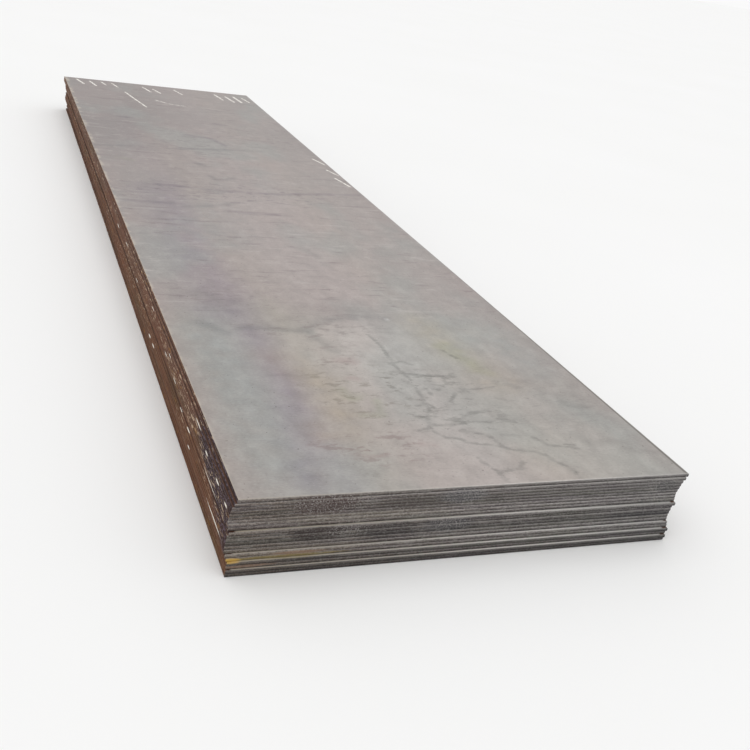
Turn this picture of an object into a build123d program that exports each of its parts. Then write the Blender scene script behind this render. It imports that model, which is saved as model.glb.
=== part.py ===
import os
from math import cos, radians, sin

from build123d import *

# A stack of hot-rolled steel plates, laid flat one on another.
# X runs across the plates, Y along them (-Y is the near, stepped end) and Z up from the floor.
# The origin is under the middle of the whole stack.

# One plate, in millimetres: 5 ft by 20 ft, half an inch thick
PLATE_WIDTH = 1524
PLATE_LENGTH = 6096
PLATE_THICKNESS = 12.7
ROLLED_EDGE_RADIUS = 3
CUT_EDGE_BEVEL = 0.8

# How each plate lies, from the floor up: millimetres set back from the near end,
# millimetres moved to the right, and degrees turned (positive swings the near end to the right).
LAY = [
    (6, 6, -0.02),
    (2, 11, -0.11),
    (8, 9, -0.05),
    (4, 14, -0.13),
    (11, 7, -0.05),
    (9, 4, -0.08),
    (14, -1, -0.03),
    (14, -2, -0.01),
    (13, -1, -0.02),
    (12, 1, -0.05),
    (12, 1, -0.02),
    (6, 7, -0.08),
    (14, 3, -0.03),
    (13, 0, -0.01),
    (12, -2, -0.02),
    (10, -2, -0.01),
    (7, -3, 0.02),
    (4, -5, 0.08),
    (1, -7, 0.15),
    (-1, -4, 0.20),
    (0, 0, 0.25),
]


def half_span(turn):
    """Half the room that a turned plate takes up across and along the stack."""
    straight, skewed = cos(radians(turn)), abs(sin(radians(turn)))
    across = (PLATE_WIDTH * straight + PLATE_LENGTH * skewed) / 2
    along = (PLATE_LENGTH * straight + PLATE_WIDTH * skewed) / 2
    return across, along


def stack_middle():
    """The middle of the whole stack's outline, seen from above."""
    sides, ends = [], []
    for back, right, turn in LAY:
        across, along = half_span(turn)
        sides += [right - across, right + across]
        ends += [back - along, back + along]
    return (min(sides) + max(sides)) / 2, (min(ends) + max(ends)) / 2


def make_plate(lying):
    """One plate on its own plane: rounded mill edges along it, square-cut ends with the burr worn off."""
    with BuildPart() as plate:
        with BuildSketch(lying):
            Rectangle(PLATE_WIDTH, PLATE_LENGTH)
        extrude(amount=PLATE_THICKNESS)
        lengthwise = Axis(lying.origin, lying.y_dir)
        fillet(plate.edges().filter_by(lengthwise), ROLLED_EDGE_RADIUS)
        faces = plate.faces().sort_by(lengthwise)
        chamfer(faces[0].edges() + faces[-1].edges(), CUT_EDGE_BEVEL)
    return plate.part


os.makedirs("parts", exist_ok=True)
middle_x, middle_y = stack_middle()

for layer, (back, right, turn) in enumerate(LAY):
    lying = Plane(
        origin=(right - middle_x, back - middle_y, layer * PLATE_THICKNESS),
        x_dir=(cos(radians(turn)), sin(radians(turn)), 0),
        z_dir=(0, 0, 1),
    )
    plate = make_plate(lying)
    plate.label = f"plate_{layer + 1:02d}"
    export_step(plate, f"parts/{plate.label}.step")
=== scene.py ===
import math

import bmesh
import bpy
import numpy as np
from mathutils import Matrix, Vector, noise


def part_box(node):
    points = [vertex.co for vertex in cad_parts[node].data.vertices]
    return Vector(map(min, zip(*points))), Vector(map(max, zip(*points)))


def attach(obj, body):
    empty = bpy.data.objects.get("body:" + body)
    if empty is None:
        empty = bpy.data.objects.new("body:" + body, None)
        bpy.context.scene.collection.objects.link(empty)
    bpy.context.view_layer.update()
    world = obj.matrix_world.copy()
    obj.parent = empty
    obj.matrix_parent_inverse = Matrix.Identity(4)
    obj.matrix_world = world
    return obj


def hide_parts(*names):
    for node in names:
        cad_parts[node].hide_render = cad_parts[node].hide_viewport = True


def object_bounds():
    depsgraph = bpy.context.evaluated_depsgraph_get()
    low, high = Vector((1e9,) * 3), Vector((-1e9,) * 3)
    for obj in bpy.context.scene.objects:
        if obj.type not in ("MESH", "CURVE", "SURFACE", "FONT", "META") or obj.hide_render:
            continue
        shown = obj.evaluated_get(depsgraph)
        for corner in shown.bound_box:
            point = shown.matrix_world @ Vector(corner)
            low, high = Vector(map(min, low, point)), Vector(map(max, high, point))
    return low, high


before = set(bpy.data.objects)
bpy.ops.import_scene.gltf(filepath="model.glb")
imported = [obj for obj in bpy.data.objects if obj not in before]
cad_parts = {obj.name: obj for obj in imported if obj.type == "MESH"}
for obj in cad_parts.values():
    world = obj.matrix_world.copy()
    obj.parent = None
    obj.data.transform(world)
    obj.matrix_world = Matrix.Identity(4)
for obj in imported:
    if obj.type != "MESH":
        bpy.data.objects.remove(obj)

# A stack of hot-rolled steel plates. Lengths are in metres, in the same frame as the solids.
# Each solid is replaced by a plate with rolled side edges, sheared ends and a mill finish.
# Marks are placed in plate widths: across from the left edge, along from the near end, and down
# from the top of the stack.

MM = 0.001
# Where the plates' waves start in the noise, so that each plate has its own
SEED = 20
cad_low, cad_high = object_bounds()

# How finely the visible meshes follow a plate's outline
OUTLINE_STEP = 20 * MM
# The top plate is finer where thin water marks lie, because they are stored on its points
FINE_STEP = 6 * MM
FINE_ACROSS = (-0.16, 0.47)
FINE_ALONG = (-3.05, -1.85)

# Section of a side rolled round by the mill: inset from the edge and height, in thicknesses
ROLLED_SECTION = [
    (0.42, 0.000), (0.150, 0.020), (0.055, 0.100), (0.015, 0.250),
    (0.000, 0.500),
    (0.015, 0.750), (0.055, 0.900), (0.150, 0.980), (0.42, 1.000),
]
# Section of a sheared end: the blade rounds the top corner over and leaves a sharp foot
SHEARED_SECTION = [
    (0.42, 0.000), (0.050, 0.015), (0.015, 0.060), (0.000, 0.250),
    (0.010, 0.500),
    (0.020, 0.720), (0.060, 0.880), (0.140, 0.970), (0.42, 1.000),
]
# How bare the metal is rubbed at each level of those sections, which also paints a highlight along each
# plate's upper lip
EDGE_WEAR_AND_HIGHLIGHT = [0.0, 0.1, 0.0, 0.0, 0.0, 0.1, 0.5, 1.0, 0.0]

# How far the edges wander inwards: depth and length of each wave
SIDE_WAVES = [(1.4 * MM, 0.70), (0.8 * MM, 0.16), (0.4 * MM, 0.05)]
END_WAVES = [(0.6 * MM, 0.45), (0.3 * MM, 0.07)]
# How far the top plate's face dips: depth and length of each wave, what is added to them, and how
# wide the rim is over which the dip sets in
FACE_WAVES = [(0.8 * MM, 1.3), (0.3 * MM, 0.35)]
FACE_DIP = 0.4 * MM
RIM = 30 * MM

# How light the cut end of each plate is, from the top of the stack down
END_TONES = [
    0.92, 0.97, 0.92, 0.90, 0.86, 0.99, 1.13, 1.18, 0.97, 0.86, 0.85,
    0.78, 0.56, 0.83, 0.86, 1.06, 0.93, 0.60, 0.84, 0.53, 0.50,
]

# Painted highlights on the left side, where ledges catch the light: along, down, half their length and
# half their height
PAINTED_GLINTS = [
    (0.176, 0.076, 0.061, 0.0020), (0.100, 0.113, 0.054, 0.0020), (0.476, 0.083, 0.013, 0.0018),
    (0.388, 0.084, 0.012, 0.0018), (0.362, 0.112, 0.010, 0.0018), (0.107, 0.034, 0.011, 0.0020),
    (0.033, 0.036, 0.009, 0.0020), (0.208, 0.033, 0.011, 0.0020), (0.902, 0.022, 0.016, 0.0018),
    (0.690, 0.049, 0.016, 0.0018), (0.926, 0.110, 0.013, 0.0016), (0.865, 0.110, 0.013, 0.0016),
    (1.203, 0.061, 0.018, 0.0018), (1.420, 0.030, 0.020, 0.0018), (1.640, 0.045, 0.020, 0.0018),
    (0.300, 0.020, 0.024, 0.0016), (0.640, 0.030, 0.012, 0.0016), (0.560, 0.055, 0.014, 0.0016),
]

# Stains on the top face: the share of red, green and blue that each takes away, or adds below 0
TIDE = (0.21, 0.19, 0.18)
SHADE = (0.10, 0.10, 0.10)
DARK = (0.24, 0.25, 0.21)
PURPLE = (0.12, 0.14, 0.09)
RED = (0.08, 0.15, 0.14)
GREEN = (0.09, 0.05, 0.12)
WARM = (-0.01, 0.03, 0.09)
BLUE = (0.06, 0.02, 0.00)
PALE = (-0.05, -0.06, -0.06)
NICK = (-0.70, -0.75, -0.80)
# How far a stain wanders from its line, and over what length
STAIN_WANDER = 12 * MM
STAIN_RIPPLE = 45 * MM
# Each stain, its half width, and the points that it runs through
MARKS = [
    (SHADE, 0.012, [(.824, .133), (.875, .145), (.930, .141)]),
    (SHADE, 0.010, [(.915, .113), (.940, .097), (.997, .096)]),
    (SHADE, 0.010, [(.882, .297), (.928, .304)]),
    (TIDE, 0.016, [(.084, .778), (.106, .750), (.137, .724), (.191, .751), (.250, .740), (.312, .736),
        (.351, .736), (.408, .788), (.469, .818), (.546, .826), (.601, .815)]),
    (TIDE, 0.014, [(.351, .736), (.365, .702), (.386, .616)]),
    (RED, 0.014, [(.380, .558), (.417, .554)]),
    (RED, 0.010, [(.376, .464), (.392, .459)]),
    (GREEN, 0.014, [(.338, .407), (.347, .371), (.368, .379)]),
    (GREEN, 0.012, [(.406, .352), (.393, .294), (.352, .288)]),
    (RED, 0.007, [(.274, .133), (.291, .124), (.315, .125), (.337, .131)]),
    (RED, 0.008, [(.432, .162), (.453, .157)]),
    (SHADE, 0.006, [(.289, .060), (.292, .056)]),
    (SHADE, 0.006, [(.186, .483), (.238, .482)]),
    (SHADE, 0.006, [(.256, .481), (.279, .471)]),
    (NICK, 0.004, [(.607, .808), (.611, .810)]),
    (PURPLE, 0.032, [(.212, .724), (.209, .639), (.223, .428), (.180, .228), (.145, .050)]),
    (PURPLE, 0.070, [(.150, .860), (.180, 1.00), (.160, 1.30), (.150, 1.70), (.160, 1.95)]),
    (SHADE, 0.060, [(.125, .950), (.200, .860), (.320, .800), (.440, .860), (.560, .890)]),
    (SHADE, 0.055, [(.850, .460), (.905, .425), (.930, .310), (.900, .300)]),
    (WARM, 0.045, [(.219, .587), (.288, .444), (.288, .299), (.232, .218)]),
    (GREEN, 0.030, [(.711, .635), (.743, .507)]),
    (WARM, 0.050, [(.700, .800), (.711, .635), (.755, .530), (.760, .440)]),
    (BLUE, 0.070, [(.070, .700), (.085, .480), (.090, .300), (.060, .100)]),
    (BLUE, 0.070, [(.860, .780), (.880, .620), (.900, .540)]),
    (BLUE, 0.090, [(.300, 1.45), (.310, 1.75)]),
    (PALE, 0.070, [(.560, .200), (.600, .215)]),
    (PALE, 0.130, [(.620, .620), (.660, .950)]),
    (PALE, 0.090, [(.500, .420), (.520, .550)]),
    (PALE, 0.100, [(.440, .570), (.450, .660)]),
    (PALE, 0.050, [(.330, 1.83), (.480, 1.82), (.620, 1.84)]),
    (PURPLE, 0.014, [(.177, 2.019), (.230, 2.015), (.260, 2.008)]),
    (DARK, 0.012, [(.039, 1.794), (.129, 1.790), (.220, 1.785)]),
    (TIDE, 0.012, [(.227, 1.757), (.350, 1.785), (.435, 1.837)]),
    (DARK, 0.012, [(.387, 1.733), (.456, 1.725), (.552, 1.720)]),
    (TIDE, 0.014, [(.022, 2.536), (.091, 2.555), (.161, 2.568)]),
    (TIDE, 0.012, [(.314, 2.572), (.503, 2.621), (.657, 2.647)]),
    (TIDE, 0.016, [(.387, 2.365), (.422, 2.336)]),
    (TIDE, 0.012, [(.409, 2.176), (.426, 2.133), (.501, 2.172)]),
    (SHADE, 0.012, [(.611, 2.314), (.561, 2.279)]),
    (SHADE, 0.012, [(.511, 2.394), (.458, 2.407)]),
    (DARK, 0.014, [(.182, 3.117), (.227, 3.116)]),
    (DARK, 0.016, [(.630, 3.146), (.670, 3.141)]),
    (DARK, 0.012, [(.438, 2.856), (.546, 2.825), (.582, 2.715)]),
    (SHADE, 0.010, [(.599, 1.511), (.636, 1.515)]),
    (SHADE, 0.014, [(.010, 1.440), (.045, 1.451)]),
    (GREEN, 0.016, [(.075, 2.368), (.124, 2.342)]),
    (SHADE, 0.010, [(.295, 1.430), (.343, 1.451)]),
    (SHADE, 0.010, [(.552, 1.361), (.562, 1.285)]),
    (DARK, 0.012, [(.177, 2.019), (.249, 2.011), (.357, 1.988), (.495, 1.981), (.625, 1.982),
        (.842, 2.030), (.980, 2.050)]),
]
# Thin jagged water veins. In half widths: how far from their lines they are stored, how much the
# noise adds to the distance, and the distances at which a vein starts to show and shows in full.
VEIN_HALF_WIDTH = 0.0037
VEIN_REACH = 8.0
VEIN_RAGGED = 9.0
VEIN_STARTS, VEIN_IN_FULL = 7.0, 4.6
# The points that each vein runs through
VEINS = [
    [(.515, .713), (.526, .636), (.519, .543), (.523, .483), (.530, .455)],
    [(.525, .488), (.559, .478), (.615, .471), (.630, .461)],
    [(.509, .543), (.542, .552), (.565, .537)],
    [(.525, .409), (.518, .338), (.533, .311)],
    [(.526, .400), (.548, .408), (.550, .380)],
    [(.490, .326), (.520, .333)],
    [(.516, .355), (.516, .316), (.493, .272), (.481, .235), (.483, .209), (.498, .185), (.525, .180),
        (.550, .159), (.584, .151)],
    [(.471, .282), (.493, .272)],
    [(.481, .225), (.448, .219)],
    [(.490, .238), (.546, .240), (.601, .250), (.640, .244)],
    [(.546, .245), (.580, .268), (.607, .288), (.659, .296)],
    [(.584, .151), (.612, .142), (.635, .123), (.679, .116), (.695, .101), (.704, .075), (.728, .040),
        (.724, .014)],
    [(.577, .201), (.605, .191), (.612, .142)],
    [(.637, .190), (.669, .187)],
    [(.533, .104), (.542, .068), (.551, .049), (.552, .029), (.553, .012)],
    [(.551, .042), (.584, .052), (.609, .056), (.628, .078)],
    [(.710, .170), (.726, .141), (.759, .132), (.791, .122)],
    [(.767, .138), (.791, .136)],
    [(.588, .480), (.624, .470), (.612, .435)],
    [(.640, .400), (.681, .402), (.732, .413)],
    [(.583, .344), (.615, .384)],
    [(.671, .254), (.700, .244)],
    [(.690, .614), (.707, .570)],
]

# Smudges on the top face: across, along, half sizes across and along, strength and colour
SMUDGES = [
    (.380, .400, .120, .140, 0.42, (120, 114, 102)), (.570, .420, .110, .080, 0.42, (112, 111, 106)),
    (.360, .740, .180, .050, 0.40, (128, 118, 116)), (.570, .260, .130, .060, 0.40, (114, 113, 108)),
    (.330, .160, .130, .070, 0.42, (128, 108, 106)), (.380, .600, .080, .080, 0.30, (132, 116, 114)),
    (.800, .350, .160, .160, 0.20, (124, 122, 118)), (.400, 1.950, .420, .120, 0.40, (112, 104, 112)),
    (.300, 2.600, .300, .160, 0.35, (120, 112, 114)), (.600, 2.900, .400, .200, 0.25, (120, 112, 112)),
    (.200, 1.000, .160, .160, 0.25, (124, 112, 118)),
]

# Section of a stroke of paint: half widths to the side, and height; its underside sinks in the plate
PAINT_FILM = 0.15 * MM
PAINT_SUNK = 0.30 * MM
PAINT_SECTION = [
    (-1, -PAINT_SUNK), (-0.7, PAINT_FILM), (0, 1.3 * PAINT_FILM), (0.7, PAINT_FILM),
    (1, -PAINT_SUNK), (0, -2 * PAINT_SUNK),
]
PAINT_STEP = 8 * MM
# Plain white paint strokes: half width and the points that each runs through
STROKES = [
    (0.008, [(.283, 3.74), (.312, 3.57), (.345, 3.39)]),
    (0.006, [(.415, 3.60), (.480, 3.53), (.560, 3.51)]),
    (0.010, [(.060, 3.97), (.090, 3.84)]),
    (0.009, [(.125, 3.95), (.150, 3.82)]),
    (0.008, [(.185, 3.96), (.205, 3.87)]),
    (0.008, [(.240, 3.95), (.262, 3.84)]),
    (0.009, [(.400, 3.93), (.430, 3.80)]),
    (0.008, [(.450, 3.90), (.480, 3.79)]),
    (0.009, [(.570, 3.94), (.600, 3.82)]),
    (0.010, [(.795, 3.93), (.815, 3.78)]),
    (0.012, [(.850, 3.90), (.872, 3.75)]),
    (0.012, [(.900, 3.92), (.915, 3.76)]),
    (0.009, [(.945, 3.90), (.965, 3.79)]),
    (0.007, [(.955, 2.60), (.985, 2.50)]),
    (0.008, [(.962, 2.42), (.990, 2.33)]),
    (0.008, [(.958, 2.29), (.985, 2.16)]),
]

# Patches on the near cut end: across, down and half sizes in plate widths, then colour and strength
END_PATCHES = [
    ((.175, .022), (.060, .025), (70, 52, 50), 0.75),
    ((.365, .030), (.075, .018), (72, 64, 60), 0.55),
    ((.465, .021), (.045, .018), (68, 70, 80), 0.45),
    ((.955, .030), (.025, .014), (60, 60, 64), 0.55),
    ((.175, .090), (.050, .018), (58, 48, 46), 0.75),
    ((.320, .096), (.055, .016), (60, 54, 54), 0.65),
    ((.450, .094), (.050, .016), (66, 66, 74), 0.50),
    ((.160, .144), (.060, .004), (56, 46, 46), 0.60),
    ((.930, .102), (.090, .005), (58, 56, 60), 0.60),
    ((.230, .057), (.200, .009), (118, 112, 100), 0.35),
    ((.120, .125), (.140, .010), (122, 112, 98), 0.35),
]
# Ochre rust that has run along a ledge low on the left
SEEPS = [
    ((.110, .1385), (.110, .0032), (146, 130, 76), 0.50),
    ((.140, .1320), (.050, .0038), (154, 122, 96), 0.45),
    ((.010, .1395), (.018, .0042), (206, 168, 84), 0.75),
    ((.040, .1530), (.050, .0036), (150, 120, 94), 0.45),
]
# Where the near cut end carries pale specks: across, down and half sizes
END_SPECKS = [
    ((.190, .020), (.080, .026)), ((.235, .090), (.040, .020)), ((.465, .022), (.050, .022)),
    ((.455, .092), (.040, .020)), ((.940, .020), (.040, .022)),
]

# Camera: where the photograph was taken from, in plate widths from the top plate's near left corner
EYE = Vector((-0.4136, -1.3193, 0.9200))
LOOKS_AT = Vector((0.3784, 0.4653, 0.0))
ROLL = math.radians(10.153)
LENS = 44.60
# The photograph is cropped a little off centre: how far, in picture widths
SHIFT = (25 / 750, 3 / 750)

# The floor's size, and how far the camera sees
FLOOR_SIZE = 600
SIGHT = 800
# How bright the white backdrop is at the horizon and higher up, and how high up that is, as a sine.
# It is brighter low down, so that the floor runs into it without a seam.
HORIZON_LIGHT = 0.96
SKY_LIGHT = 0.73
SKY_HEIGHT = 0.30


def wave(waves, along, across=0.0, seed=0.0):
    """A steady but uneven wandering, from 0 to the sum of the depths."""
    total = 0.0
    for depth, length in waves:
        spot = Vector((along / length, across / length, 7.3 * seed))
        total += depth * (0.5 + 0.5 * noise.noise(spot))
    return total


def read_plate(node):
    """Where a plate lies: its matrix (origin in the middle of its underside) and its three sizes."""
    points = [vertex.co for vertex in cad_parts[node].data.vertices]
    low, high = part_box(node)
    middle = (Vector(low) + Vector(high)) / 2
    near = [p for p in points if p.y < middle.y]
    far = [p for p in points if p.y >= middle.y]
    lengthwise = sum(far, Vector()) / len(far) - sum(near, Vector()) / len(near)
    lengthwise = Vector((lengthwise.x, lengthwise.y, 0)).normalized()
    crosswise = Vector((lengthwise.y, -lengthwise.x, 0))
    width = 2 * max((p - middle).dot(crosswise) for p in points)
    length = 2 * max((p - middle).dot(lengthwise) for p in points)
    matrix = Matrix((crosswise, lengthwise, Vector((0, 0, 1)))).transposed().to_4x4()
    matrix.translation = Vector((middle.x, middle.y, low[2]))
    return matrix, width, length, high[2] - low[2]


def spaced(half, step, fine=None):
    """Evenly spaced places from -half to half, closer together in a fine stretch."""
    stretches = [(-half, half, step)]
    if fine:
        start, end = max(fine[0], -half), min(fine[1], half)
        stretches = [(-half, start, step), (start, end, FINE_STEP), (end, half, step)]
    places = [-half]
    for start, end, spacing in stretches:
        count = round((end - start) / spacing)
        places += [start + (end - start) * k / count for k in range(1, count + 1)]
    return places


def face_dip(across, along, width, length):
    """How far the top face lies below its rim, in metres."""
    to_rim = min(width / 2 - abs(across), length / 2 - abs(along))
    ease = min(max(to_rim / RIM, 0.0), 1.0)
    return ease * (FACE_DIP + wave(FACE_WAVES, along, across))


def far_from(spots, stops):
    """How far each spot is from a line that runs through the stops."""
    distance = np.full(len(spots), np.inf)
    for start, end in zip(stops[:-1], stops[1:]):
        step = end - start
        share_along = np.clip(((spots - start) @ step) / (step @ step), 0, 1)
        away = spots - start - share_along[:, None] * step
        distance = np.minimum(distance, np.linalg.norm(away, axis=1))
    return distance


def stain_points(data, width, length):
    """Stores, for each point of the top plate, what its stains take away and how near a vein is."""
    points = np.empty(len(data.vertices) * 3)
    data.vertices.foreach_get("co", points)
    points = points.reshape(-1, 3)
    on_top = points[:, 2] > points[:, 2].max() / 2
    places = points[:, :2] + (width / 2, length / 2)
    kept = np.ones((len(points), 3))
    for share, half_width, route in MARKS:
        half_width *= width
        stops = np.array(route) * width
        reach = 3 * half_width
        inside = (places > stops.min(axis=0) - reach) & (places < stops.max(axis=0) + reach)
        close = inside.all(axis=1) & on_top
        spots = places[close]
        wander = np.array([
            noise.noise_vector(Vector((x / STAIN_RIPPLE, y / STAIN_RIPPLE, 3.0))) for x, y in spots
        ]).reshape(-1, 3)
        spots = spots + wander[:, :2] * min(STAIN_WANDER, half_width)
        strength = np.clip(1 - far_from(spots, stops) / (2 * half_width), 0, 1)
        strength = strength * strength * (3 - 2 * strength) * (0.8 + 0.6 * wander[:, 2])
        kept[close] *= 1 - strength[:, None] * np.array(share)
    taken = np.concatenate([1 - kept, np.ones((len(points), 1))], axis=1)
    data.attributes.new("stain", "FLOAT_COLOR", "POINT").data.foreach_set("color", taken.ravel())
    # Nearness is counted down from the reach to 0, so that 0 also means no vein
    nearness = np.zeros(len(points))
    for route in VEINS:
        distance = far_from(places, np.array(route) * width) / (VEIN_HALF_WIDTH * width)
        nearness = np.maximum(nearness, np.where(on_top, np.clip(VEIN_REACH - distance, 0, None), 0))
    data.attributes.new("vein", "FLOAT", "POINT").data.foreach_set("value", nearness)


def dipping_face(mesh, rim, xs, ys, width, length, thickness):
    """Fills the rim of the top plate with a grid that dips a little inside it."""
    nx, ny = len(xs), len(ys)
    grid = {}
    for i in range(nx):
        grid[i, 0] = rim[i]
        grid[i, ny - 1] = rim[nx + ny - 2 + (nx - 1 - i)]
    for j in range(1, ny - 1):
        grid[nx - 1, j] = rim[nx + j - 1]
        grid[0, j] = rim[2 * nx + ny - 2 + (ny - 2 - j)]
    for i in range(1, nx - 1):
        for j in range(1, ny - 1):
            dip = face_dip(xs[i], ys[j], width, length)
            grid[i, j] = mesh.verts.new((xs[i], ys[j], thickness - dip))
    for i in range(nx - 1):
        for j in range(ny - 1):
            square = (grid[i, j], grid[i + 1, j], grid[i + 1, j + 1], grid[i, j + 1])
            mesh.faces.new(square).smooth = True


def plate_mesh(name, matrix, width, length, thickness, layer):
    """A closed plate: outline loops stacked through the thickness, then an upper and a lower face."""
    is_top = layer == 0
    seed = SEED + layer
    xs = spaced(width / 2, OUTLINE_STEP, FINE_ACROSS if is_top else None)
    ys = spaced(length / 2, OUTLINE_STEP, FINE_ALONG if is_top else None)
    # Each place on the outline, anticlockwise from the near left corner, with its outward directions
    outline = [(x, ys[0], 0, -1) for x in xs] + [(xs[-1], y, 1, 0) for y in ys[1:-1]]
    outline += [(x, ys[-1], 0, 1) for x in reversed(xs)]
    outline += [(xs[0], y, -1, 0) for y in reversed(ys[1:-1])]
    corners = {(xs[0], ys[0]): (-1, -1), (xs[-1], ys[0]): (1, -1),
               (xs[0], ys[-1]): (-1, 1), (xs[-1], ys[-1]): (1, 1)}

    mesh = bmesh.new()
    loops, wear_and_highlight, rise = [], {}, {}
    sections = zip(ROLLED_SECTION, SHEARED_SECTION, EDGE_WEAR_AND_HIGHLIGHT)
    for (side_inset, side_height), (end_inset, end_height), rub_and_highlight in sections:
        loop = []
        for x, y, out_x, out_y in outline:
            out_x, out_y = corners.get((x, y), (out_x, out_y))
            level = end_height if out_y and not out_x else side_height
            # Each side and each end wanders in its own way
            if out_x:
                x -= out_x * (thickness * side_inset + wave(SIDE_WAVES, y, seed=seed + 40 * out_x))
            if out_y:
                y -= out_y * (thickness * end_inset + wave(END_WAVES, x, seed=seed + 80 * out_y))
            vertex = mesh.verts.new((x, y, thickness * level))
            wear_and_highlight[vertex], rise[vertex] = rub_and_highlight, level
            loop.append(vertex)
        loops.append(loop)

    def band(lower, upper, is_wall):
        for k in range(len(lower)):
            n = (k + 1) % len(lower)
            face = mesh.faces.new((lower[k], lower[n], upper[n], upper[k]))
            face.smooth = True
            if is_wall:
                is_end = outline[k][3] != 0 and outline[n][1] == outline[k][1]
                face.material_index = 2 if is_end else 1

    for k in range(len(loops) - 1):
        band(loops[k], loops[k + 1], is_wall=0 < k < len(loops) - 2)
    mesh.faces.new(reversed(loops[0]))
    if is_top:
        dipping_face(mesh, loops[-1], xs, ys, width, length, thickness)
    else:
        mesh.faces.new(loops[-1])

    stored = {
        "wear_and_highlight": [wear_and_highlight.get(vertex, 0.0) for vertex in mesh.verts],
        "rise": [rise.get(vertex, 1.0) for vertex in mesh.verts],
        "tone": [END_TONES[layer]] * len(mesh.verts),
        "covered": [0.0 if is_top else 1.0] * len(mesh.verts),
    }
    data = bpy.data.meshes.new(name)
    mesh.to_mesh(data)
    mesh.free()
    for label, values in stored.items():
        data.attributes.new(label, "FLOAT", "POINT").data.foreach_set("value", values)
    if is_top:
        stain_points(data, width, length)
    data.transform(matrix)
    data.set_sharp_from_angle(angle=math.radians(50))
    return add_piece(name, data)


def add_piece(name, data):
    """Puts a mesh in the scene as a piece of the part."""
    piece = bpy.data.objects.new(name, data)
    bpy.context.scene.collection.objects.link(piece)
    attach(piece, "root")
    return piece


def paint_mesh(matrix, width, length, thickness):
    """Thin films of paint, each a low closed ridge along its stroke with an uneven edge."""
    mesh = bmesh.new()
    for number, (half_width, route) in enumerate(STROKES):
        stops = [Vector(stop) * width for stop in route]
        places = []
        for start, end in zip(stops[:-1], stops[1:]):
            count = math.ceil((end - start).length / PAINT_STEP)
            direction = (end - start).normalized()
            places += [(start.lerp(end, k / count), direction) for k in range(count)]
        places.append((stops[-1], (stops[-1] - stops[-2]).normalized()))
        rings = []
        for k, (place, direction) in enumerate(places):
            to_tip = min(k, len(places) - 1 - k)
            uneven = 0.75 + 0.35 * noise.noise(Vector((k / 3, number, 1.0)))
            swell = min(1.0, 0.45 + 0.3 * to_tip) * uneven
            aside = Vector((-direction.y, direction.x)) * half_width * width * swell
            ring = []
            for side, lift in PAINT_SECTION:
                x, y = place + aside * side - Vector((width, length)) / 2
                z = thickness - face_dip(x, y, width, length) + lift
                ring.append(mesh.verts.new((x, y, min(z, thickness))))
            rings.append(ring)
        for before, after in zip(rings[:-1], rings[1:]):
            for k in range(len(before)):
                n = (k + 1) % len(before)
                mesh.faces.new((before[k], before[n], after[n], after[k])).smooth = True
        mesh.faces.new(reversed(rings[0]))
        mesh.faces.new(rings[-1])
    bmesh.ops.recalc_face_normals(mesh, faces=mesh.faces)
    data = bpy.data.meshes.new("paint_strokes")
    mesh.to_mesh(data)
    mesh.free()
    data.transform(matrix)
    return add_piece("paint_strokes", data)


def shade(red, green, blue):
    """A colour given as it looks on a screen, from 0 to 255, as the shaders' linear colour."""
    def linear(value):
        value /= 255
        return value / 12.92 if value <= 0.04045 else ((value + 0.055) / 1.055) ** 2.4
    return (linear(red), linear(green), linear(blue), 1.0)


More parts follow.
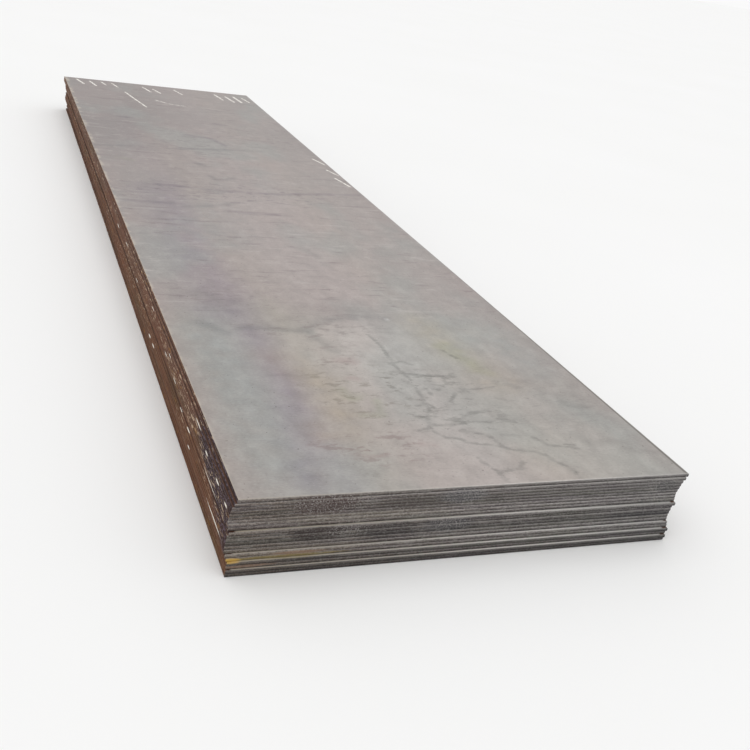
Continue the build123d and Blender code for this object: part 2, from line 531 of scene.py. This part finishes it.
class Look:
    """One material and its nodes, with short calls for the nodes that the recipes below use."""

    def __init__(self, name):
        self.material = bpy.data.materials.new(name)
        self.material.use_nodes = True
        self.tree = self.material.node_tree
        self.surface = self.tree.nodes["Principled BSDF"]
        self.place = self.add("ShaderNodeTexCoord").outputs["Object"]
        split = self.add("ShaderNodeSeparateXYZ")
        self.feed(split.inputs[0], self.place)
        self.x, self.y, self.z = split.outputs

    def add(self, kind, **settings):
        node = self.tree.nodes.new(kind)
        for name, value in settings.items():
            setattr(node, name, value)
        return node

    def feed(self, socket, value):
        """Gives a socket a number, a colour or another node's output."""
        if isinstance(value, bpy.types.NodeSocket):
            self.tree.links.new(value, socket)
        else:
            socket.default_value = value

    def stored(self, name, output="Fac"):
        """A value that the mesh stores on its points; it is 0 where a mesh has none."""
        return self.add("ShaderNodeAttribute", attribute_name=name).outputs[output]

    def math(self, operation, first, second=0.0, third=0.0):
        node = self.add("ShaderNodeMath", operation=operation)
        for socket, value in zip(node.inputs, (first, second, third)):
            self.feed(socket, value)
        return node.outputs[0]

    def times(self, first, *rest):
        """The product of several values."""
        for value in rest:
            first = self.math("MULTIPLY", first, value)
        return first

    def vector(self, operation, first, second=(0.0, 0.0, 0.0)):
        node = self.add("ShaderNodeVectorMath", operation=operation)
        self.feed(node.inputs[0], first)
        self.feed(node.inputs[1], second)
        return node.outputs["Value" if operation == "LENGTH" else "Vector"]

    def noise(self, scales, detail=3.0, roughness=0.5, distortion=0.0):
        """Soft noise from 0 to 1. The scales are how often it changes per metre along x, y and z."""
        node = self.add("ShaderNodeTexNoise")
        self.feed(node.inputs["Vector"], self.vector("MULTIPLY", self.place, scales))
        node.inputs["Scale"].default_value = 1.0
        node.inputs["Detail"].default_value = detail
        node.inputs["Roughness"].default_value = roughness
        node.inputs["Distortion"].default_value = distortion
        return node.outputs["Fac"]

    def between(self, value, low, high, out_low=0.0, out_high=1.0):
        """A smooth step from out_low to out_high as the value goes from low to high."""
        node = self.add("ShaderNodeMapRange", interpolation_type="SMOOTHSTEP")
        for socket, number in zip(node.inputs, (value, low, high, out_low, out_high)):
            self.feed(socket, number)
        return node.outputs[0]

    def ramp(self, factor, stops):
        """A colour ramp through (place, colour) stops."""
        node = self.add("ShaderNodeValToRGB")
        ramp = node.color_ramp
        ramp.elements[0].position, ramp.elements[0].color = stops[0]
        ramp.elements[1].position, ramp.elements[1].color = stops[-1]
        for position, color in stops[1:-1]:
            ramp.elements.new(position).color = color
        self.feed(node.inputs[0], factor)
        return node.outputs[0]

    def mix(self, factor, first, second, blend="MIX"):
        node = self.add("ShaderNodeMix", data_type="RGBA", blend_type=blend)
        self.feed(node.inputs[0], factor)
        self.feed(node.inputs[6], first)
        self.feed(node.inputs[7], second)
        return node.outputs[2]

    def patch(self, middle, squeeze, ragged):
        """1 inside an oval, 0 outside it, with a ragged edge. A squeeze is 1 over a half size, or 0."""
        away = self.vector("SUBTRACT", self.place, middle)
        away = self.vector("LENGTH", self.vector("MULTIPLY", away, squeeze))
        return self.between(self.math("MULTIPLY_ADD", ragged, 1.2, away), 2.0, 1.3)

    def near_half(self):
        """1 at the near end of the stack and 0 at the far end."""
        return self.between(self.y, 0.5, -0.5)

    def end_patch(self, spot, halves, ragged):
        """A patch on the near cut ends, placed in metres across and up."""
        return self.patch((spot[0], 0.0, spot[1]), (1 / halves[0], 0.0, 1 / halves[1]), ragged)

    def bump(self, height, distance, below=None):
        node = self.add("ShaderNodeBump")
        node.inputs["Strength"].default_value = 1.0
        node.inputs["Distance"].default_value = distance
        self.feed(node.inputs["Height"], height)
        if below:
            self.feed(node.inputs["Normal"], below)
        return node.outputs[0]

    def finish(self, color, roughness, normal, metallic=0.0):
        self.feed(self.surface.inputs["Base Color"], color)
        self.feed(self.surface.inputs["Roughness"], roughness)
        self.feed(self.surface.inputs["Normal"], normal)
        self.surface.inputs["Metallic"].default_value = metallic
        return self.material


def end_spots(width, height, patches):
    """Patches given in plate widths across and down, turned into metres across and up."""
    for (right, down), (half_across, half_down), *rest in patches:
        spot = ((right - 0.5) * width, height - down * width)
        yield spot, (half_across * width, half_down * width), *rest


def mill_scale(width, length, height):
    """Upper and lower faces: grey scale with soft lengthwise tints, cross streaks, veins and specks."""
    look = Look("mill_scale")
    across = look.math("MULTIPLY_ADD", look.x, 1 / width, 0.5)
    along = look.math("MULTIPLY_ADD", look.y, 1 / width, length / width / 2)
    drift = look.noise((1.2, 0.6, 1.0), detail=2.0)
    warped = look.math("MULTIPLY_ADD", drift, 0.16, look.math("SUBTRACT", across, 0.08))
    tint = look.ramp(warped, [
        (0.00, shade(168, 158, 152)), (0.05, shade(164, 160, 155)), (0.12, shade(162, 160, 157)),
        (0.20, shade(164, 157, 157)), (0.28, shade(174, 166, 158)), (0.42, shade(181, 173, 168)),
        (0.58, shade(182, 175, 171)), (0.70, shade(181, 174, 166)), (0.80, shade(172, 167, 161)),
        (0.92, shade(168, 166, 161)), (1.00, shade(160, 155, 151)),
    ])
    # Beyond the near part the scale is pinker, and duller towards the far left
    cloud = look.noise((1.7, 1.1, 1.0), detail=4.0, roughness=0.55)
    far = look.between(look.math("MULTIPLY_ADD", cloud, 0.5, along), 0.98, 1.18)
    tint = look.mix(look.times(far, 0.50), tint, shade(165, 152, 151))
    dull = look.times(look.between(along, 1.2, 3.4), look.between(across, 0.9, 0.0, 0.28, 0.85))
    tint = look.mix(dull, tint, shade(139, 131, 130))
    tint = look.mix(look.between(cloud, 0.42, 0.64, 0.0, 0.30), tint, shade(176, 162, 158))
    cool = look.noise((2.1, 1.4, 3.0), detail=3.0)
    tint = look.mix(look.between(cool, 0.50, 0.68, 0.0, 0.45), tint, shade(156, 160, 157))
    # Cross streaks left by the descaling water, stronger beyond the near part
    streaks = look.noise((5.0, 34.0, 1.0), detail=5.0, roughness=0.62, distortion=0.8)
    reach = look.math("MULTIPLY_ADD", far, 0.75, 0.25)
    dark = look.times(look.between(streaks, 0.56, 0.70, 0.0, 0.46), reach)
    tint = look.mix(dark, tint, shade(122, 110, 112))
    light = look.times(look.between(streaks, 0.43, 0.28, 0.0, 0.42), reach)
    tint = look.mix(light, tint, shade(200, 194, 190))
    mottle = look.noise((20.0, 13.0, 20.0), detail=6.0, roughness=0.62)
    tint = look.mix(look.between(mottle, 0.30, 0.58, 0.22, 0.0), tint, shade(118, 112, 108))
    tint = look.mix(look.between(mottle, 0.50, 0.72, 0.0, 0.18), tint, shade(204, 200, 194))
    fine = look.noise((90.0, 150.0, 90.0), detail=3.0, roughness=0.6)
    tint = look.mix(look.between(fine, 0.52, 0.72, 0.0, 0.22), tint, shade(126, 120, 116))
    tint = look.mix(look.between(fine, 0.46, 0.30, 0.0, 0.16), tint, shade(206, 202, 196))
    speck = look.noise((110.0, 80.0, 80.0), detail=1.0)
    tint = look.mix(look.between(speck, 0.74, 0.78, 0.0, 0.45), tint, shade(84, 76, 74))
    kept = look.vector("SUBTRACT", (1.0, 1.0, 1.0), look.stored("stain", "Vector"))
    tint = look.mix(1.0, tint, kept, "MULTIPLY")
    # Veins: the noise makes their edges jagged, and a slower one lets them fade here and there
    jagged = look.noise((24.0, 60.0, 1.0), detail=5.0, roughness=0.75)
    vein = look.math("MULTIPLY_ADD", jagged, -VEIN_RAGGED, look.stored("vein"))
    vein = look.between(vein, VEIN_REACH - VEIN_STARTS, VEIN_REACH - VEIN_IN_FULL)
    broken = look.between(look.noise((11.0, 19.0, 7.0), detail=3.0), 0.36, 0.54, 0.20, 0.44)
    tint = look.mix(look.times(vein, broken), tint, shade(110, 110, 106))
    # Smudges between the veins and beyond them
    smudge = look.between(look.noise((15.0, 34.0, 5.0), detail=5.0, roughness=0.65), 0.53, 0.64)
    for right, near_by, half_across, half_along, strength, color in SMUDGES:
        middle = ((right - 0.5) * width, near_by * width - length / 2, 0.0)
        squeeze = (1 / (half_across * width), 1 / (half_along * width), 0.0)
        amount = look.times(look.patch(middle, squeeze, jagged), smudge, strength)
        tint = look.mix(amount, tint, shade(*color))
    # Rust creeps in from the rolled edges of the covered plates
    to_side = look.math("ABSOLUTE", look.math("SUBTRACT", across, 0.5))
    covered = look.stored("covered")
    rust = look.times(look.between(to_side, 0.482, 0.490), covered)
    tint = look.mix(rust, tint, look.mix(mottle, shade(66, 44, 34), shade(100, 68, 52)))
    uncovered = look.math("SUBTRACT", 1.0, covered)
    # The top plate has a dark line along its right edge and pale flakes along its left one
    line = look.times(look.between(across, 0.9955, 0.9980, 0.0, 0.65), uncovered)
    tint = look.mix(line, tint, shade(100, 94, 88))
    flakes = look.times(look.between(across, 0.016, 0.004), look.between(mottle, 0.46, 0.56))
    tint = look.mix(look.times(flakes, uncovered, 0.6), tint, shade(196, 186, 172))
    # Handling rubs the rims bare, and part of their brightness is a painted highlight; a plate that
    # stands out at the near end shows a painted highlight strip where its ledge catches the light
    bare_metal_and_highlight = look.ramp(across, [
        (0.0, shade(180, 170, 152)), (0.3, shade(192, 186, 176)), (0.6, shade(224, 221, 216)),
        (0.8, shade(216, 214, 210)), (1.0, shade(194, 192, 189)),
    ])
    near_end = -length / 2
    ledge_highlight = look.times(look.between(look.y, near_end + 34 * MM, near_end + 20 * MM, 0.0, 0.9), covered)
    bare_and_highlight = look.times(look.stored("wear_and_highlight"), look.between(fine, 0.35, 0.55, 1.0, 0.7))
    bare_and_highlight = look.times(look.math("MAXIMUM", bare_and_highlight, ledge_highlight), look.math("SUBTRACT", 1.0, rust))
    tint = look.mix(bare_and_highlight, tint, bare_metal_and_highlight)
    tint = seep(look, tint, width, height, mottle)
    rough = look.between(mottle, 0.3, 0.7, 0.46, 0.60)
    grain = look.noise((420.0, 300.0, 400.0), detail=3.0)
    normal = look.bump(grain, 0.12 * MM, look.bump(mottle, 0.6 * MM))
    look.surface.inputs["Specular IOR Level"].default_value = 0.4
    return look.finish(tint, rough, normal, metallic=0.25)


def seep(look, tint, width, height, ragged):
    """Ochre rust along a ledge at the near end."""
    near = look.near_half()
    for spot, halves, color, strength in end_spots(width, height, SEEPS):
        amount = look.times(look.end_patch(spot, halves, ragged), strength, near)
        tint = look.mix(amount, tint, shade(*color))
    return tint


def rolled_rust(width, length, height):
    """Long sides: brown rust in fine lengthwise lines, with painted shade along each plate's foot and
    painted highlights where ledges catch the light.
    """
    look = Look("rolled_rust")
    lines = look.noise((3.0, 5.0, 380.0), detail=5.0, roughness=0.65)
    tint = look.ramp(lines, [
        (0.25, shade(52, 32, 24)), (0.42, shade(88, 58, 42)), (0.58, shade(110, 76, 56)),
        (0.78, shade(140, 108, 84)),
    ])
    # Greyer near the top of the stack, redder or darker in patches
    up = look.math("DIVIDE", look.z, height)
    tint = look.mix(look.between(up, 0.45, 1.0, 0.0, 0.40), tint, shade(98, 80, 74))
    patches = look.noise((2.0, 2.6, 14.0), detail=3.0)
    tint = look.mix(look.between(patches, 0.50, 0.66, 0.0, 0.45), tint, shade(106, 66, 48))
    tint = look.mix(look.between(patches, 0.46, 0.32, 0.0, 0.45), tint, shade(78, 62, 40))
    # Painted shade along the foot of each plate, in the groove above the plate below
    rise = look.stored("rise")
    tint = look.mix(look.between(rise, 0.22, 0.0, 0.0, 0.6), tint, shade(34, 22, 18))
    # Darker by the near upper corners, with purple specks
    from_near = look.math("MULTIPLY_ADD", look.y, 1 / width, length / width / 2)
    corner = look.math("MULTIPLY_ADD", up, -1.35, look.times(from_near, 3.0))
    corner = look.math("MULTIPLY_ADD", patches, 0.5, corner)
    dark_by_corner = look.between(corner, 0.10, -0.20)
    fine = look.noise((90.0, 60.0, 200.0), detail=3.0, roughness=0.6)
    specked_dark = look.mix(look.between(fine, 0.50, 0.62), shade(44, 34, 36), shade(92, 82, 94))
    tint = look.mix(look.times(dark_by_corner, 0.85), tint, specked_dark)
    # Flakes where the rust has come off, mostly on the upper plates
    flakes = look.between(look.noise((16.0, 24.0, 200.0), detail=3.0, roughness=0.65), 0.56, 0.62)
    where = look.between(look.noise((1.5, 1.8, 8.0), detail=2.0), 0.40, 0.56)
    amount = look.times(flakes, where, look.between(up, 0.25, 0.60, 0.20, 0.85))
    tint = look.mix(amount, tint, shade(186, 162, 138))
    gold = look.between(look.noise((10.0, 12.0, 90.0), detail=2.0), 0.64, 0.70, 0.0, 0.5)
    tint = look.mix(gold, tint, shade(142, 100, 52))
    # Painted highlights on the left side, where the tops of ledges catch the light
    left = look.between(look.x, 0.2, -0.2)
    for near_by, down, half_along, half_down in PAINTED_GLINTS:
        middle = (0.0, near_by * width - length / 2, height - down * width)
        squeeze = (0.0, 1 / (half_along * width), 1 / (half_down * width))
        amount = look.times(look.patch(middle, squeeze, fine), left)
        tint = look.mix(amount, tint, shade(232, 226, 216))
    look.surface.inputs["Specular IOR Level"].default_value = 0.15
    return look.finish(tint, 0.85, look.bump(lines, 0.6 * MM))


def sheared_end(width, height):
    """Cut ends: dull grey steel, darker at each plate's edges as painted shade for the grooves between
    plates, with brown and purple casts.
    """
    look = Look("sheared_end")
    ragged = look.noise((24.0, 24.0, 90.0), detail=4.0, roughness=0.6)
    wobble = look.math("MULTIPLY_ADD", ragged, 0.24, -0.12)
    rise = look.math("ADD", look.stored("rise"), wobble)
    # The ramp over each plate's height is painted shade: dark at the foot and the top corner, where the
    # grooves between plates lie
    tint = look.ramp(rise, [
        (0.00, shade(30, 27, 27)), (0.14, shade(52, 47, 46)), (0.34, shade(92, 87, 84)),
        (0.60, shade(118, 113, 110)), (0.86, shade(134, 129, 126)), (1.00, shade(92, 88, 86)),
    ])
    across = look.math("MULTIPLY_ADD", look.x, 1 / width, 0.5)
    cast = look.ramp(across, [
        (0.00, shade(255, 240, 226)), (0.30, shade(248, 240, 236)), (0.60, shade(254, 252, 253)),
        (1.00, shade(246, 250, 255)),
    ])
    tint = look.mix(1.0, tint, cast, "MULTIPLY")
    casts = look.noise((3.5, 3.5, 42.0), detail=4.0)
    tint = look.mix(look.between(casts, 0.50, 0.66, 0.0, 0.40), tint, shade(86, 78, 84))
    tint = look.mix(look.between(casts, 0.46, 0.34, 0.0, 0.35), tint, shade(98, 98, 88))
    streaks = look.noise((14.0, 14.0, 240.0), detail=4.0, roughness=0.6)
    tint = look.mix(look.between(streaks, 0.50, 0.72, 0.0, 0.55), tint, shade(146, 143, 140))
    tint = look.mix(look.between(streaks, 0.46, 0.30, 0.0, 0.65), tint, shade(44, 40, 41))
    near = look.near_half()
    for spot, halves, color, strength in end_spots(width, height, END_PATCHES):
        amount = look.times(look.end_patch(spot, halves, ragged), strength, near)
        tint = look.mix(amount, tint, shade(*color))
    # Bare metal on each plate's upper lip, partly a painted highlight, then grit, and pale specks in
    # some places
    bare_and_highlight = look.times(look.stored("wear_and_highlight"), look.between(across, 0.0, 0.7, 0.50, 0.85))
    tint = look.mix(bare_and_highlight, tint, shade(190, 187, 182))
    grit = look.noise((170.0, 60.0, 260.0), detail=2.0, roughness=0.7)
    tint = look.mix(look.between(grit, 0.50, 0.66, 0.0, 0.45), tint, shade(46, 42, 42))
    tint = look.mix(look.between(grit, 0.47, 0.34, 0.0, 0.34), tint, shade(166, 162, 158))
    speckle = look.between(look.noise((220.0, 40.0, 260.0), detail=1.0), 0.56, 0.63)
    speckle = look.times(speckle, near)
    for spot, halves in end_spots(width, height, END_SPECKS):
        amount = look.times(look.end_patch(spot, halves, ragged), speckle, 0.55)
        tint = look.mix(amount, tint, shade(176, 172, 168))
    tint = look.vector("SCALE", tint)
    look.feed(tint.node.inputs["Scale"], look.stored("tone"))
    tint = seep(look, tint, width, height, ragged)
    # Fine upright lines left by the shear's blade
    marks = look.noise((260.0, 20.0, 40.0), detail=3.0)
    look.surface.inputs["Specular IOR Level"].default_value = 0.3
    return look.finish(tint, 0.62, look.bump(marks, 0.3 * MM), metallic=0.2)


def marking_paint():
    """Dry white paint, thin enough for the steel to show through in places."""
    look = Look("marking_paint")
    gaps = look.noise((60.0, 40.0, 60.0), detail=4.0, roughness=0.65)
    tint = look.mix(look.between(gaps, 0.62, 0.48), shade(176, 168, 162), shade(236, 233, 226))
    return look.finish(tint, 0.75, look.bump(gaps, 0.1 * MM))


def studio_floor(size):
    """A plain pale floor."""
    bpy.ops.mesh.primitive_plane_add(size=size, location=(0, 0, 0))
    floor = bpy.context.object
    floor.name = "floor"
    look = Look("pale_floor")
    soft = look.noise((0.5, 0.5, 0.5), detail=2.0)
    tint = look.mix(soft, shade(243, 243, 242), shade(246, 246, 246))
    floor.data.materials.append(look.finish(tint, 0.9, look.bump(soft, 0.1 * MM)))


# Plates, from the top down
plates = sorted(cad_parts, reverse=True)
top_matrix, plate_width, plate_length, plate_thickness = read_plate(plates[0])
stack_height = cad_high[2]
materials = [
    mill_scale(plate_width, plate_length, stack_height),
    rolled_rust(plate_width, plate_length, stack_height),
    sheared_end(plate_width, stack_height),
]

for layer, node in enumerate(plates):
    matrix, width, length, thickness = read_plate(node)
    piece = plate_mesh(f"rolled_{node}", matrix, width, length, thickness, layer)
    for material in materials:
        piece.data.materials.append(material)
    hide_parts(node)

paint = paint_mesh(top_matrix, plate_width, plate_length, plate_thickness)
paint.data.materials.append(marking_paint())

# Camera
near_left_top = Vector((-plate_width / 2, -plate_length / 2, plate_thickness))
forward = (LOOKS_AT - EYE).normalized()
level = forward.cross(Vector((0, 0, 1))).normalized()
right = math.cos(ROLL) * level + math.sin(ROLL) * level.cross(forward)
camera = bpy.data.objects.new("camera", bpy.data.cameras.new("camera"))
bpy.context.scene.collection.objects.link(camera)
turn = Matrix((right, right.cross(forward), -forward)).transposed().to_4x4()
turn.translation = near_left_top + EYE * plate_width
camera.matrix_world = top_matrix @ turn
camera.data.lens = LENS
camera.data.shift_x, camera.data.shift_y = SHIFT
camera.data.clip_end = SIGHT
bpy.context.scene.camera = camera

# Floor and light
studio_floor(FLOOR_SIZE)
world = bpy.data.worlds.new("studio")
world.use_nodes = True
nodes, links = world.node_tree.nodes, world.node_tree.links
direction = nodes.new("ShaderNodeTexCoord")
split = nodes.new("ShaderNodeSeparateXYZ")
glow = nodes.new("ShaderNodeMapRange")
glow.interpolation_type = "SMOOTHSTEP"
glow.inputs["From Max"].default_value = SKY_HEIGHT
glow.inputs["To Min"].default_value = HORIZON_LIGHT
glow.inputs["To Max"].default_value = SKY_LIGHT
links.new(direction.outputs["Generated"], split.inputs[0])
links.new(split.outputs["Z"], glow.inputs["Value"])
links.new(glow.outputs["Result"], nodes["Background"].inputs["Strength"])
nodes["Background"].inputs["Color"].default_value = (1, 1, 1, 1)
bpy.context.scene.world = world
sun = bpy.data.objects.new("overhead", bpy.data.lights.new("overhead", "SUN"))
sun.data.energy = 1.0
sun.data.angle = math.radians(80)
sun.rotation_euler = (math.radians(10), math.radians(-15), 0)
bpy.context.scene.collection.objects.link(sun)
bpy.context.scene.view_settings.view_transform = "Standard"
